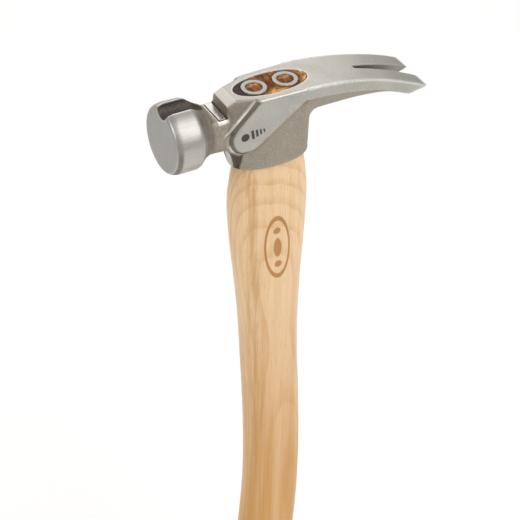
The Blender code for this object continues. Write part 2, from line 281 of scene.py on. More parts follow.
# Place along the claws against half width, the sides' lower edge, and the belly. Ahead
# of CLAW_WIDTH_X the cheeks set the width.
CLAW_WIDTH_X = 18
HALF_WIDTH = [(-6, 12.55), (18, 13.34), (24, 13.3), (36, 13.1), (54, 13.15), (70, 14.0),
              (81, 14.6)]
SIDE_LOW = [(-6, -7.0), (13, -6.8), (20, -6.8), (31, -8.0), (42.5, -10.1), (56, -13.7),
            (66, -17.6), (71, -19.8)]
BELLY = [(-6, -25), (12, -22.5), (17, -19.8), (22, -18.7), (34, -18.5), (46, -18.4),
         (58, -18.9), (66, -19.6), (71, -20.0)]
# The cheek's flat outline and the outline of its foot, along and up.
CHEEK_END_X, CHEEK_FRONT_X = 14.4, -10.6
CHEEK = [(CHEEK_END_X, -0.8), (CHEEK_FRONT_X, -0.8), (-21.9, -12.7), (-24.0, -14.9),
         (-25.5, -18.4), (-24.8, -22.5), (-22.9, -25.5), (-20.6, -26.9), (-17.0, -27.3),
         (-13.8, -26.6), (-11.6, -25.2), (10.2, -7.6), (CHEEK_END_X, -5.4)]
CHEEK_BASE = [(CHEEK_END_X, 0), (-12.7, 0), (-24.2, -11.2), (-26.6, -14.2), (-27.8, -18.6),
              (-26.6, -23.8), (-24.2, -27.2), (-20.8, -28.9), (-16.6, -29.2), (-12.6, -28.2),
              (-10.2, -26.2), (10.6, -9.4), (CHEEK_END_X, -7.2)]
CHEEK_FOOT_Y = 9.9
NOSE = [(-21.9, 6.75, 0), (-24.4, 6.95, -1.2), (-26.7, 7.0, -2.3), (-26.7, 7.0, -9.5),
        (-12.7, 9.9, 0), (-23.3, 10.0, -9.5), (-23.3, 8.0, -16), (6, 11.6, 0), (6, 10.5, -16)]
HULL_SHARP = 6.0  # how crisp the edges between a hull's planes are
# Neck slices: position, half width, half height, squareness, drop below the poll's axis.
NECK = np.array([(-41.5, 13.0, 13.6, 2.0, 0), (-38.0, 11.8, 12.9, 2.1, 0.3),
                 (-35.0, 10.7, 12.2, 2.3, 0.5), (-31.0, 10.2, 12.0, 2.5, 0.7),
                 (-26.5, 10.2, 12.1, 2.6, 0.8), (-24.0, 10.3, 12.9, 2.6, 1.6),
                 (-22.2, 10.4, 14.2, 2.6, 2.9), (-20.9, 10.3, 16.6, 2.6, 5.2),
                 (-20.4, 9.9, 17.8, 2.6, 6.6), (-14.0, 8.7, 17.7, 2.6, 7.0)])
# Poll: axis height, rear end, and two bevels as length along the axis and depth.
POLL_Z, POLL_END_X, REAR_BEVEL_X = -15.8, -37.5, -43.4
FACE_BEVEL, REAR_BEVEL = (2.6, 1.3), (5.9, 5.5)
# Collar and eye are ovals: half length, half width, squareness.
COLLAR_A, COLLAR_B, COLLAR_POWER = 21.0, 11.3, 2.3
EYE_X, EYE_A, EYE_B, EYE_POWER, EYE_TAPER = 0.3, 19.3, 8.7, 2.1, 0.12
# The claws' V: its closed end, that end's radius, and how each side opens.
NOTCH_X, NOTCH_R, NOTCH_SLOPE, NOTCH_STEEP = 47.5, 1.3, 0.0877, 1.004
# Nail groove, pocket for the nail's head, and the magnet's slot.
GROOVE_Z, GROOVE_R, GROOVE_BACK_X = 1.2, 4.7, -28.2
POCKET_FRONT_X, POCKET_BACK_X, POCKET_Z = -34.8, -26.7, -7.8
SLOT_FRONT_X, SLOT_HALF_W, SLOT_Z = -31.2, 8.0, -10.8


# ---- the head's distances, in millimetres of the head's frame ------------
def soft_max(a, b, k):
    """The larger of a and b, rounded over a width k where they cross."""
    h = np.clip(0.5 + (a - b) / (2 * k), 0, 1)
    return b + (a - b) * h + k * h * (1 - h)


def soft_min(a, b, k):
    return -soft_max(-a, -b, k)


def along(points, x):
    """Smooth curve through (position, value) points: cubic pieces whose slope at each
    point is that of the line between its two neighbours."""
    t, v = np.array(points, dtype=float).T
    slope = np.gradient(v, t)
    slope[1:-1] = (v[2:] - v[:-2]) / (t[2:] - t[:-2])
    x = np.clip(x, t[0], t[-1])
    i = np.clip(np.searchsorted(t, x) - 1, 0, len(t) - 2)
    h = t[i + 1] - t[i]
    u = (x - t[i]) / h
    return ((2 * u**3 - 3 * u**2 + 1) * v[i] + (u**3 - 2 * u**2 + u) * h * slope[i]
            + (3 * u**2 - 2 * u**3) * v[i + 1] + (u**3 - u**2) * h * slope[i + 1])


def oval_distance(x, y, a, b, power):
    """Level of the oval |x/a|^n + |y/b|^n = 1 over the steepness of that level."""
    u, v = np.abs(x) / a, np.abs(y) / b
    total = np.maximum(u**power + v**power, 1e-4)
    level = total ** (1 / power)
    steep = total ** (1 / power - 1) * np.hypot(u ** (power - 1) / a, v ** (power - 1) / b)
    return (level - 1) / np.maximum(steep, 1e-4)


def hull_planes(points):
    """Planes of the smallest convex solid around the points: those through three of
    them that leave all the others on one side."""
    p = np.array([(x, s * y, z) for x, y, z in points for s in (1, -1)], dtype=float)
    i, j, k = np.array(list(itertools.combinations(range(len(p)), 3))).T
    n = np.cross(p[j] - p[i], p[k] - p[i])
    size = np.linalg.norm(n, axis=1)
    keep = size > 1e-3
    n, first = n[keep] / size[keep, None], p[i[keep]]
    d = (n * first).sum(axis=1)
    side = n @ p.T - d[:, None]
    low, high = (side <= 1e-3).all(axis=1), (side >= -1e-3).all(axis=1)
    planes = np.vstack([np.column_stack([n[low], d[low]]), np.column_stack([-n[high], -d[high]])])
    planes = planes[planes[:, 1] > -0.02]
    return np.unique(np.round(planes, 3), axis=0)


@functools.lru_cache(maxsize=None)
def cheek_planes():
    """Flat cheek, its broken top edge, and a bevel in two steps: shallow, then steep."""
    face = [(a, cheek_half_width(a), b) for a, b in CHEEK]
    step = [(a + 0.72 * (c - a), cheek_half_width(a) - 0.85, b + 0.72 * (d - b))
            for (a, b), (c, d) in zip(CHEEK[1:-1], CHEEK_BASE[1:-1])]
    foot = [(a, CHEEK_FOOT_Y, b) for a, b in CHEEK_BASE]
    broken = [(a, cheek_half_width(a) - 0.8, 0) for a in (CHEEK_END_X, CHEEK_FRONT_X)]
    return hull_planes(face + step + foot + broken)


@functools.lru_cache(maxsize=None)
def nose_planes():
    return hull_planes(NOSE)


def hull_distance(x, y, z, planes):
    """Soft largest distance over the planes: log of the sum of exp(sharpness * distance)."""
    each = [nx * x + ny * y + nz * z - d for nx, ny, nz, d in planes]
    top = each[0]
    for e in each[1:]:
        top = np.maximum(top, e)
    total = 0
    for e in each:
        total = total + np.exp(HULL_SHARP * (e - top))
    return top + np.log(total) / HULL_SHARP


def cheek_half_width(x):
    return 12.4 + 0.033 * (x + 10.5)


def half_width(x):
    """Half the head's width: the cheeks' even taper, then the claws' curve."""
    return np.where(x < CLAW_WIDTH_X, cheek_half_width(x), along(HALF_WIDTH, x))


def top_distance(x, z):
    return np.where(x > CLAW_ARC_X, np.hypot(x - CLAW_ARC_X, z + CLAW_ARC_R) - CLAW_ARC_R, z)


def claw_distance(x, y, z, edge):
    """Claws: under the top arc, between the sides, above two flanks and a belly."""
    u = ramp(x, CHISEL_X, CLAW_TIP_X - CHISEL_X)
    end = math.sqrt(CLAW_ARC_R**2 - (CLAW_TIP_X - CLAW_ARC_X)**2) - CLAW_ARC_R - TIP_THICK
    wide = half_width(x) - 2.0 * ramp(x, CHEEK_END_X, -2.5)
    side = (1 - u) * along(SIDE_LOW, x) + u * end
    belly = (1 - u) * along(BELLY, x) + u * (end - 0.05)
    keel = 5.6 + 2.4 * ramp(x, 40, 30)
    mid_y, mid_z = 0.72 * wide, side + 0.62 * (belly - side)

    def below(y0, z0, y1, z1):
        dy, dz = y1 - y0, z1 - z0
        return ((y0 - y) * dz + (z - z0) * dy) / np.hypot(dy, dz)
    under = soft_max(below(wide, side, mid_y, mid_z), below(mid_y, mid_z, keel, belly), 3.0)
    under = soft_max(under, belly - z, 2.5)
    body = soft_max(under, y - wide, 0.5)
    body = soft_max(body, top_distance(x, z), edge)
    return np.maximum(soft_max(body, x - CLAW_TIP_X, 0.4), CLAW_START_X - x)


def poll_distance(x, y, z):
    """The round poll: a bevel rolls into the striking face, another into the neck."""
    rho = np.hypot(y, z - POLL_Z)
    long, deep = FACE_BEVEL
    roll = (long * (rho - (POLL_R - deep)) - deep * (x - FACE_X)) / math.hypot(long, deep)
    poll = soft_max(rho - POLL_R, roll, 0.9)
    poll = soft_max(poll, FACE_X - x, 0.9)
    long, deep = REAR_BEVEL
    rear = (deep * (x - REAR_BEVEL_X) + long * (rho - POLL_R)) / math.hypot(long, deep)
    return np.maximum(soft_max(poll, rear, 1.4), x - POLL_END_X)


def neck_distance(x, y, z):
    """The neck: squared ovals whose sizes run in straight lines between the slices."""
    half_w, half_h, power, drop = (np.interp(x, NECK[:, 0], NECK[:, i]) for i in (1, 2, 3, 4))
    zz = z - POLL_Z + drop
    rho = np.hypot(y, zz) + 1e-6
    level = ((y / half_w)**power + (np.abs(zz) / half_h)**power) ** (1 / power) + 1e-6
    return np.maximum(rho - rho / level, np.maximum(NECK[0, 0] - x, x - NECK[-1, 0]))


def head_distance(x, y, z, edge, claw_fillet, neck_fillet):
    """The forged head. Collar and claws melt together, then nose block and cheeks, then
    neck and poll; the eye, the claws' V, the nail groove, the nail head's pocket and the
    magnet's slot are cut out, each with a broken edge."""
    y = np.abs(y)
    flare = 0.6 * ramp(z, COLLAR_Z, 37)
    collar = oval_distance(x, y, COLLAR_A + flare, COLLAR_B, COLLAR_POWER)
    collar = soft_max(collar, COLLAR_Z - z, 1.3)
    collar = np.maximum(collar, z + 4)
    body = soft_min(collar, claw_distance(x, y, z, edge), claw_fillet)

    cheek = hull_distance(x, y, z, cheek_planes())
    nose = hull_distance(x, y, z, nose_planes())
    body = soft_min(body, np.minimum(cheek, nose), 1.0)
    body = np.maximum(body, top_distance(x, z))
    body = np.maximum(body, y - half_width(x))

    front = soft_min(neck_distance(x, y, z), poll_distance(x, y, z), neck_fillet)
    solid = soft_min(body, front, 1.6)

    k = 1 - EYE_TAPER * z / COLLAR_Z
    eye = oval_distance(x - EYE_X, y, EYE_A * k, EYE_B * k, EYE_POWER)
    solid = soft_max(solid, -eye, 0.6)
    closed = np.hypot(np.minimum(x - NOTCH_X, 0), y) - NOTCH_R
    opened = (y - NOTCH_R - NOTCH_SLOPE * (x - NOTCH_X)) / NOTCH_STEEP
    solid = soft_max(solid, -np.where(x < NOTCH_X, closed, opened), 0.7)
    groove = np.maximum(np.hypot(y, z - GROOVE_Z) - GROOVE_R, x - GROOVE_BACK_X)
    solid = soft_max(solid, -groove, 0.7)
    pocket = np.maximum(np.maximum(POCKET_FRONT_X - x, x - POCKET_BACK_X), POCKET_Z - z)
    solid = soft_max(solid, -pocket, 0.6)
    slot = np.maximum(np.maximum(SLOT_FRONT_X - x, x - POCKET_BACK_X),
                      np.maximum(y - SLOT_HALF_W, SLOT_Z - z))
    return soft_max(solid, -slot, 0.3)


def net(value, origin, pitch):
    """Surface where value crosses zero on a grid: one point in each cell that it
    crosses, at the mean of its crossings of the cell's edges, and one quad around each
    grid edge that it crosses."""
    inside = value < 0
    shape = np.array(value.shape) - 1
    corners = list(itertools.product((0, 1), repeat=3))

    def part(a, c):
        return a[tuple(slice(o, o + n) for o, n in zip(c, shape))]
    count = sum(part(inside, c).astype(np.int8) for c in corners)
    cells = np.argwhere((count > 0) & (count < 8))
    corner = np.array(corners)
    got = value[tuple((cells[:, None, :] + corner[None]).transpose(2, 0, 1))]
    total, hits = np.zeros((len(cells), 3)), np.zeros(len(cells))
    for i, j in itertools.combinations(range(8), 2):
        if np.abs(corner[i] - corner[j]).sum() != 1:
            continue
        a, b = got[:, i], got[:, j]
        cross = (a < 0) != (b < 0)
        t = np.where(cross, a / np.where(cross, a - b, 1), 0)
        total += cross[:, None] * (corner[i] + t[:, None] * (corner[j] - corner[i]))
        hits += cross
    points = origin + pitch * (cells + total / hits[:, None])
    number = np.full(shape, -1, np.int32)
    number[tuple(cells.T)] = np.arange(len(cells))
    quads = []
    for axis in range(3):
        u, v = (axis + 1) % 3, (axis + 2) % 3
        low = [slice(1, n) for n in shape]
        low[axis] = slice(0, shape[axis])
        high = list(low)
        high[axis] = slice(1, shape[axis] + 1)
        a, b = inside[tuple(low)], inside[tuple(high)]
        at = np.argwhere(a != b)
        start = at + 1
        start[:, axis] -= 1
        ring = []
        for du, dv in ((0, 0), (1, 0), (1, 1), (0, 1)):
            c = start.copy()
            c[:, u] -= du
            c[:, v] -= dv
            ring.append(number[tuple(c.T)])
        ring = np.stack(ring, axis=1)
        out = a[tuple(at.T)]
        ring[~out] = ring[~out][:, ::-1]
        quads.append(ring)
    return points, np.vstack(quads)


def slope_of(distance, p, step=0.06):
    """Value at p, and its slope by central differences."""
    value = distance(*p.T)
    grad = np.empty_like(p)
    for axis in range(3):
        d = np.zeros(3)
        d[axis] = step
        grad[:, axis] = (distance(*(p + d).T) - distance(*(p - d).T)) / (2 * step)
    return value, grad


def settle(distance, p, rounds=3):
    """Moves points onto the surface along the slope, at most a quarter mm each time."""
    for _ in range(rounds):
        value, grad = slope_of(distance, p)
        move = (value / np.maximum((grad**2).sum(axis=1), 0.05))[:, None] * grad
        size = np.linalg.norm(move, axis=1, keepdims=True)
        p = p - move * np.minimum(1, 0.25 / np.maximum(size, 1e-9))
    return p


def head_mesh(context, s, distance):
    """The head's object, and its points in the head's frame: the net is settled on the
    surface, thinned, and settled again."""
    pitch = s.pitch / MM * 1.0
    x = np.arange(FACE_X - 1.5, CLAW_TIP_X + 1.5, pitch)
    y = (np.arange(int((POLL_R + 1.5) / pitch)) + 0.5) * pitch
    z = np.arange(COLLAR_Z - 1.5, 3.2, pitch)
    half = distance(x[:, None, None], y[None, :, None], z[None, None, :])
    value = np.concatenate([half[:, ::-1], half], axis=1)
    points, quads = net(value, np.array([x[0], -y[-1], z[0]]), pitch)
    if not len(quads):
        raise RuntimeError("The head's surface doesn't cross the grid")
    points = settle(distance, points)
    head = put("forged_head", points * MM + HEAD_PLACE, quads)
    thin = head.modifiers.new("thin", 'DECIMATE')
    thin.ratio = s.share
    done = head.evaluated_get(context.evaluated_depsgraph_get())
    mesh = bpy.data.meshes.new_from_object(done)
    head.modifiers.clear()
    old, head.data = head.data, mesh
    bpy.data.meshes.remove(old)
    p = settle(distance, (read(mesh.vertices, "co") - HEAD_PLACE) / MM, 2)
    mesh.vertices.foreach_set("co", (p * MM + HEAD_PLACE).astype(np.float32).ravel())
    return head, p


def head_marks(p, normal, distance):
    """How much of each look the steel has at each point, from 0 to 1. The surface is
    probed 2 and 5 mm outside for hollows, and 0.7 mm inside for edges. The recess look is
    painted shade; the edge look is wear with a painted highlight."""
    px, py, pz = p.T
    across, sideways, up = np.abs(py), np.abs(normal[:, 1]), normal[:, 2]
    top, wide = top_distance(px, pz), half_width(px)
    out, far = distance(*(p + 2.0 * normal).T), distance(*(p + 5.0 * normal).T)
    deep = distance(*(p - 0.7 * normal).T)
    # Painted shade in hollows: darker where steel lies near the probes outside.
    hollow = ramp(out, 2.0, -2.4) * 0.55 + ramp(far, 5.0, -9.0) * 0.3
    hollow = hollow * np.where(px > 40, 0.15, 1.0)

    # Ground flats: the top, the sides, the edge broken between them, the claws' V.
    flat_top = (np.abs(top) < 0.1) & (px > -25)
    flat_side = (np.abs(across - wide) < 0.12) & (sideways > 0.9)
    broken = (px > -12) & (top > -1.0) & (across > wide - 1.2)
    in_notch = (px > 44) & (sideways > 0.8) & (across < wide - 2)
    # Painted shade: eye, groove, undersides, the nose's side, the low rims of the poll and
    # its throat, where it meets the neck.
    in_eye = (oval_distance(px - EYE_X, py, EYE_A, EYE_B, EYE_POWER) < 0.3) & (pz < -0.8)
    in_groove = ramp(np.hypot(py, pz - GROOVE_Z), 5.1, -0.4) * (px < -28) * (pz < 0.9)
    under = ramp(-up, 0.35, 0.5)
    nose = ((sideways > 0.5) & (across < 10.4) & (pz < -0.9) & (pz > -17)
            & (px > -27.5) & (px < -11))
    rim = ramp(px - FACE_X, 0.4, 0.5) * ramp(px, FACE_X + 3.4, -0.8) * ramp(pz, -8, -8)
    poll_foot = ramp(pz, -24, -6) * ramp(px, -43.8, 1.0) * (px < -35)
    throat = ramp(px, -43.0, 1.5) * ramp(px, -32.5, -4)
    # The collar's front below the neck: a painted dark reflection on both sides of a
    # painted highlight streak.
    below = ramp(pz, -28.8, -2) * (px > -24)
    low_front = ramp(px, -18.1, -0.8) * ramp(across, 3.2, 1.2) * below
    streak = ramp(across, 3.4, -1.0) * ramp(px, -19.5, -1.0) * below
    recess = (hollow + 0.22 * nose + in_groove + 0.85 * low_front + 0.18 * under + 0.6 * rim
              + 0.5 * poll_foot + 0.3 * throat)
    # The cheek's bevel: painted shade, but a painted highlight on its steep part low down;
    # the claws' V gets painted shade too.
    drop = cheek_half_width(px) - across
    bevel = np.abs(hull_distance(px, across, pz, cheek_planes())) < 0.2
    bevel = bevel * (ramp(px, -16.8, -1.2) * ramp(pz, -13.8, -1.2) * ramp(drop, 0.05, 0.25))
    steep, low = ramp(drop, 0.8, 0.35), ramp(pz, -21, -1.5)
    recess = recess + bevel * (0.6 - 0.1 * steep - 0.5 * steep * low) + 0.34 * in_notch
    # Edges lightened by wear and a painted highlight, with the nose's chamfer; faint in the
    # V and at the collar's foot.
    chamfer = (np.abs(px + 24.3) < 2.7) & (pz < -0.15) & (pz > -2.7) & (up > 0.7)
    edge = ramp(deep, -0.64, 0.22) * ramp(out, 1.5, 0.3) * (1 - rim) + 0.25 * broken
    edge = (edge + 0.6 * chamfer) * np.where(in_notch, 0.2, 1.0)
    edge = np.where(pz < COLLAR_Z + 2.5, 0.2, 1.0) * edge
    edge = (1 - bevel) * edge + bevel * (0.1 + 0.7 * steep * low)
    return {"ground": flat_top | flat_side | broken | in_notch,
            "turned": ramp(px, -39.5, -1.5),
            "face": ramp(-normal[:, 0], 0.8, 0.15) * (px < FACE_X + 1.5),
            "edge": np.where(in_eye, 0, edge + 0.5 * streak) * (1 - in_groove),
            "recess": np.clip(recess + 0.5 * in_eye, 0, 0.97)}


def turned_ring(name, low, high, edge, sides=72, turns=5):
    """A tube: a closed profile of four quarter-round corners carried around its axis,
    and quads between neighbours, both around the tube and along the profile."""
    radius, bore = (high.x - low.x) / 2, RING_BORE * MM
    a = np.linspace(0, math.pi / 2, turns)
    profile = []
    for k, (r, z) in enumerate(((radius - edge, high.z - edge), (bore + edge, high.z - edge),
                                (bore + edge, low.z + edge), (radius - edge, low.z + edge))):
        b = a + k * math.pi / 2
        profile.append(np.column_stack([r + edge * np.cos(b), z + edge * np.sin(b)]))
    profile = np.vstack(profile)[::-1]
    t = np.arange(sides) * 2 * math.pi / sides
    r, z = profile[:, 0][:, None], profile[:, 1][:, None]
    points = np.stack([(low.x + high.x) / 2 + r * np.cos(t), r * np.sin(t), z + 0 * t], axis=-1)
    rows = len(profile)
    r, c = np.arange(rows)[:, None] * sides, np.arange(sides)[None, :]
    r2, c2 = (r + sides) % (rows * sides), (c + 1) % sides
    faces = np.stack([r2 + c, r2 + c2, r + c2, r + c], axis=-1).reshape(-1, 4)
    ob = put(name, points.reshape(-1, 3), faces)
    ob.data.shade_smooth()
    ob.data.set_sharp_from_angle(angle=RING_SHARP)
    return ob


# ---- materials -----------------------------------------------------------
# The etched sign: millimetres ahead of the eye's axis and below the top, turn, and the
# span across the head where it fades out; then, in metres, its dot's place, the dot's
# radius and soft edge, and its bars as place, half width and half height.
SIGN_X, SIGN_Z, SIGN_TURN, SIGN_SIDE = 15.9, 18.0, math.radians(9), (-0.0118, -0.0115)
SIGN_DOT_X, SIGN_DOT, SIGN_SOFT = 0.0032, (0.0020, 0.0023), 0.0002
SIGN_BARS = ((0.0008, 0.0006, 0.0024), (0.0030, 0.0005, 0.0019),
             (0.0050, 0.0004, 0.0014), (0.0068, 0.0003, 0.0009))
# The burnt oval, in metres: middle, turn, the span where it fades out, half width and
# half height; then its bar and dots as height, half height and half width.
STAMP_X, STAMP_Z, STAMP_TURN, STAMP_SIDE = 0.0148, 0.342, math.radians(4), (-0.003, -0.001)
STAMP_HALF_W, STAMP_HALF_H = 0.0072, 0.0195
STAMP_DOTS = ((0.0, 0.0062, 0.0023), (-0.0105, 0.0021, 0.0021), (0.0105, 0.0021, 0.0021))
# The tree's pith stands past the handle's far side and leans to the claws with height.
PITH_X, PITH_SLOPE, PITH_Y = 0.0127, 0.0176, 0.044
# The dense dark lines on the handle's near front corner: place across against height.
BAND_SLOPE, BAND_START = -0.057, 0.0214
# Tones that the settings don't hold.
# The edge tone is partly edge wear and partly a painted highlight.
EDGE_WEAR_AND_HIGHLIGHT, ETCHED, BLOTCH = (0.86, 0.84, 0.79), (0.06, 0.05, 0.04), (0.2, 0.17, 0.14)
SCRATCHED, SMEARED = (0.3, 0.28, 0.25), (0.035, 0.024, 0.015)


def near_side(n, at_x, at_z, turn, side):
    """Across and up from a mark's middle, turned with it, and 1 on the near side only."""
    x, _, z = n.split(n.mapped(turn=(0, turn, 0), vector=n.mapped(shift=(-at_x, 0, -at_z))))
    return x, z, n.falls(n.split()[1], *side)


def etched_sign(n):
    """A solid dot and four bars of falling height, etched on the near cheek."""
    x, z, near = near_side(n, HEAD_X - SIGN_X * MM, TOP_Z - SIGN_Z * MM, SIGN_TURN, SIGN_SIDE)
    sign = n.falls(n.hypot(n.plus(x, SIGN_DOT_X), z), *SIGN_DOT)
    for at, half, tall in SIGN_BARS:
        wide = n.falls(n.unsigned(n.minus(x, at)), half, half + SIGN_SOFT)
        high = n.falls(n.unsigned(z), tall, tall + SIGN_SOFT)
        sign = n.larger(sign, n.times(wide, high))
    return n.times(sign, near)


def cheek_bevel(n):
    """Two strips along the cheek's front upper edge, by distance from that edge: a dull
    shallow one of painted shade, then a narrow bright one of painted highlight."""
    x, y, z = n.split()
    x, z = n.minus(x, HEAD_X), n.minus(z, TOP_Z)
    off = n.plus(n.times(n.plus(x, -CHEEK_FRONT_X * MM), -0.725),
                 n.times(n.plus(z, 0.0008), 0.689))
    past = n.minus(off, n.plus(0.00175, n.times(z, -0.018)))
    here = n.times(n.steps(n.unsigned(y), 0.0095, 0.0098), n.steps(z, -0.0175, -0.0150))
    here = n.times(here, n.falls(z, -0.0010, -0.0004))
    dull = n.times(n.steps(off, 0.0, 0.0003), n.falls(past, -0.0001, 0.0002))
    bright = n.times(n.steps(past, -0.0001, 0.0002), n.falls(past, 0.0009, 0.0012))
    return n.times(dull, here), n.times(bright, here)


def steel_material(s):
    """Blasted forging skin with ground flats and a satin poll, edges lightened by wear and a
    painted highlight, and painted shade in the recesses.
    """
    n = Nodes("forged_steel")
    speck = n.noise(n.coords, 1500, 4, 0.65)
    cloud = n.noise(n.coords, 90, 3, 0.5)
    lines = n.noise(n.mapped(scale=(2600, 160, 160)), 1.0, 4, 0.6)
    turned_lines = n.noise(n.mapped(scale=(70, 1500, 1500)), 1.0, 2, 0.5)
    grit = n.noise(n.coords, 2600, 3, 0.6)
    ground, turned = n.field("ground"), n.field("turned")
    edge, recess = n.field("edge"), n.field("recess")
    cast = n.blend(n.steps(speck, 0.34, 0.68), shade(s.cast, 0.76), shade(s.cast, 1.14))
    cast = n.blend(n.steps(grit, 0.5, 0.66, 0.0, 0.5), cast, shade(s.cast, 0.42))
    flat = n.blend(n.steps(lines, 0.3, 0.7), shade(s.ground, 0.94), shade(s.ground, 1.04))
    flat = n.blend(n.steps(speck, 0.35, 0.7, 0.0, 0.34), flat, shade(s.ground, 0.6))
    poll = n.blend(n.steps(turned_lines, 0.3, 0.7), shade(s.turned, 0.94),
                   shade(s.turned, 1.05))
    base = n.blend(turned, n.blend(ground, cast, flat), poll)
    base = n.blend(n.times(n.field("face"), 0.9), base, shade(s.turned, 0.73))
    base = n.blend(n.steps(cloud, 0.3, 0.7, 0.0, 0.18), base, shade(s.cast, 0.6))
    painted_shade_strip, painted_highlight_strip = cheek_bevel(n)
    # Painted shade on the bevel's shallow strip.
    base = n.blend(n.times(painted_shade_strip, 0.8), base, shade(s.cast, 0.36))
    # Painted highlight on the bevel's narrow strip.
    edge = n.larger(edge, n.times(painted_highlight_strip, 0.9))
    # Edges lightened by wear and a painted highlight.
    base = n.blend(n.times(edge, 0.75, clamp=True), base, EDGE_WEAR_AND_HIGHLIGHT)
    # Painted shade in the recesses, in the eye and under the head.
    base = n.blend(n.times(recess, n.steps(speck, 0.2, 0.8, 0.86, 1.0)), base, s.recess_shade)
    sign = etched_sign(n)
    base = n.blend(n.times(sign, 0.86), base, ETCHED)
    rough = n.plus(n.steps(speck, 0.3, 0.7, 0.50, 0.60), n.times(ground, -0.12))
    rough = n.plus(rough, n.times(turned, -0.16))
    rough = n.plus(rough, n.times(recess, 0.2))
    rough = n.plus(rough, n.times(edge, -0.12))
    rough = n.plus(rough, n.times(sign, 0.3), clamp=True)
    dull = n.minus(1.0, n.times(n.larger(turned, ground), 0.75), clamp=True)
    bump = n.plus(n.times(speck, dull), n.times(n.times(lines, ground), 0.35))
    bump = n.minus(bump, n.times(sign, 0.8))
    return n.finish(base, rough, 1.0, bump, 0.35, 0.00025)


def wood_parts(n, s):
    """Growth rings go by the distance from the pith, less a rise with height that is
    steep near the head, so that the rings open there in arches. With them come a dense
    band on the front corner, and fibres, streaks and pores along the grain."""
    x, y, z = n.split()
    bent = n.noise(n.mapped(scale=(26, 26, 5)), 1.0, 2, 0.4)
    pith = n.plus(n.times(z, PITH_SLOPE), PITH_X)
    away = n.hypot(n.minus(x, pith), n.minus(y, PITH_Y))
    rise = n.plus(n.steps(z, 0.315, 0.408, 0.0, 0.0100), n.steps(z, 0.18, 0.28, 0.0, 0.0026))
    away = n.plus(n.minus(away, rise), n.times(bent, 0.0045))
    jitter = n.noise(n.mapped(scale=(150, 150, 40)), 1.0, 2, 0.5)
    away = n.plus(away, n.times(jitter, 0.0009))
    turn = n.math('FRACT', n.over(away, s.ring_width))
    late = n.times(n.steps(turn, 0.45, 0.93), n.falls(turn, 0.93, 1.0))
    fibre = n.noise(n.mapped(scale=(1100, 1100, 16)), 1.0, 4, 0.6)
    streak = n.noise(n.mapped(scale=(170, 170, 4.5)), 1.0, 3, 0.55)
    pores = n.noise(n.mapped(scale=(2600, 2600, 130)), 1.0, 2, 0.5)
    lines = n.noise(n.mapped(scale=(800, 800, 5)), 1.0, 3, 0.6)
    side = n.minus(x, n.plus(n.times(z, BAND_SLOPE), BAND_START))
    side = n.unsigned(n.minus(side, n.times(bent, 0.002)))
    band = n.times(n.falls(side, 0.0012, 0.0042), n.steps(lines, 0.35, 0.62))
    return band, late, fibre, streak, pores


def stamp_mask(n):
    """Long oval outline with a bar and two dots, burnt into the near side."""
    x, z, near = near_side(n, STAMP_X, STAMP_Z, STAMP_TURN, STAMP_SIDE)
    rim = n.hypot(n.over(x, STAMP_HALF_W), n.over(z, STAMP_HALF_H))
    mark = n.falls(n.unsigned(n.minus(rim, 0.93)), 0.055, 0.095)
    for at, high, wide in STAMP_DOTS:
        off = n.hypot(n.over(x, wide), n.over(n.minus(z, at), high))
        mark = n.larger(mark, n.falls(off, 0.85, 1.05))
    return n.times(mark, near)


def hickory_material(s):
    """Pale wood with growth rings, streaks, fibres and pores, deeper in tone lower down,
    and the burnt mark."""
    n = Nodes("hickory")
    band, late, fibre, streak, pores = wood_parts(n, s)
    late = n.times(late, n.steps(streak, 0.3, 0.7, 0.25, 0.6))
    base = n.blend(late, s.pale, s.late)
    base = n.blend(n.steps(streak, 0.42, 0.72, 0.0, 0.36), base, s.late)
    base = n.blend(n.times(band, 0.7), base, shade(s.late, 0.86))
    base = n.blend(n.steps(fibre, 0.45, 0.8, 0.0, 0.30), base, shade(s.late, 0.9))
    base = n.blend(n.steps(pores, 0.60, 0.74, 0.0, 0.40), base, s.pore)
    lower = n.times(n.falls(n.split()[2], 0.15, 0.33), n.steps(streak, 0.3, 0.65, 0.42, 0.82))
    base = n.blend(lower, base, s.low)
    stamp = stamp_mask(n)
    burn = n.times(stamp, n.steps(fibre, 0.25, 0.7, 1.0, 0.86))
    base = n.blend(burn, base, s.burnt)
    rough = n.steps(fibre, 0.3, 0.7, 0.42, 0.54)
    bump = n.plus(n.times(fibre, 0.5), n.times(pores, -0.3))
    bump = n.minus(bump, n.times(stamp, 0.5))
    return n.finish(base, rough, 0.0, bump, 0.25, 0.00018, Coat_Weight=0.12,
                    Coat_Roughness=0.25)


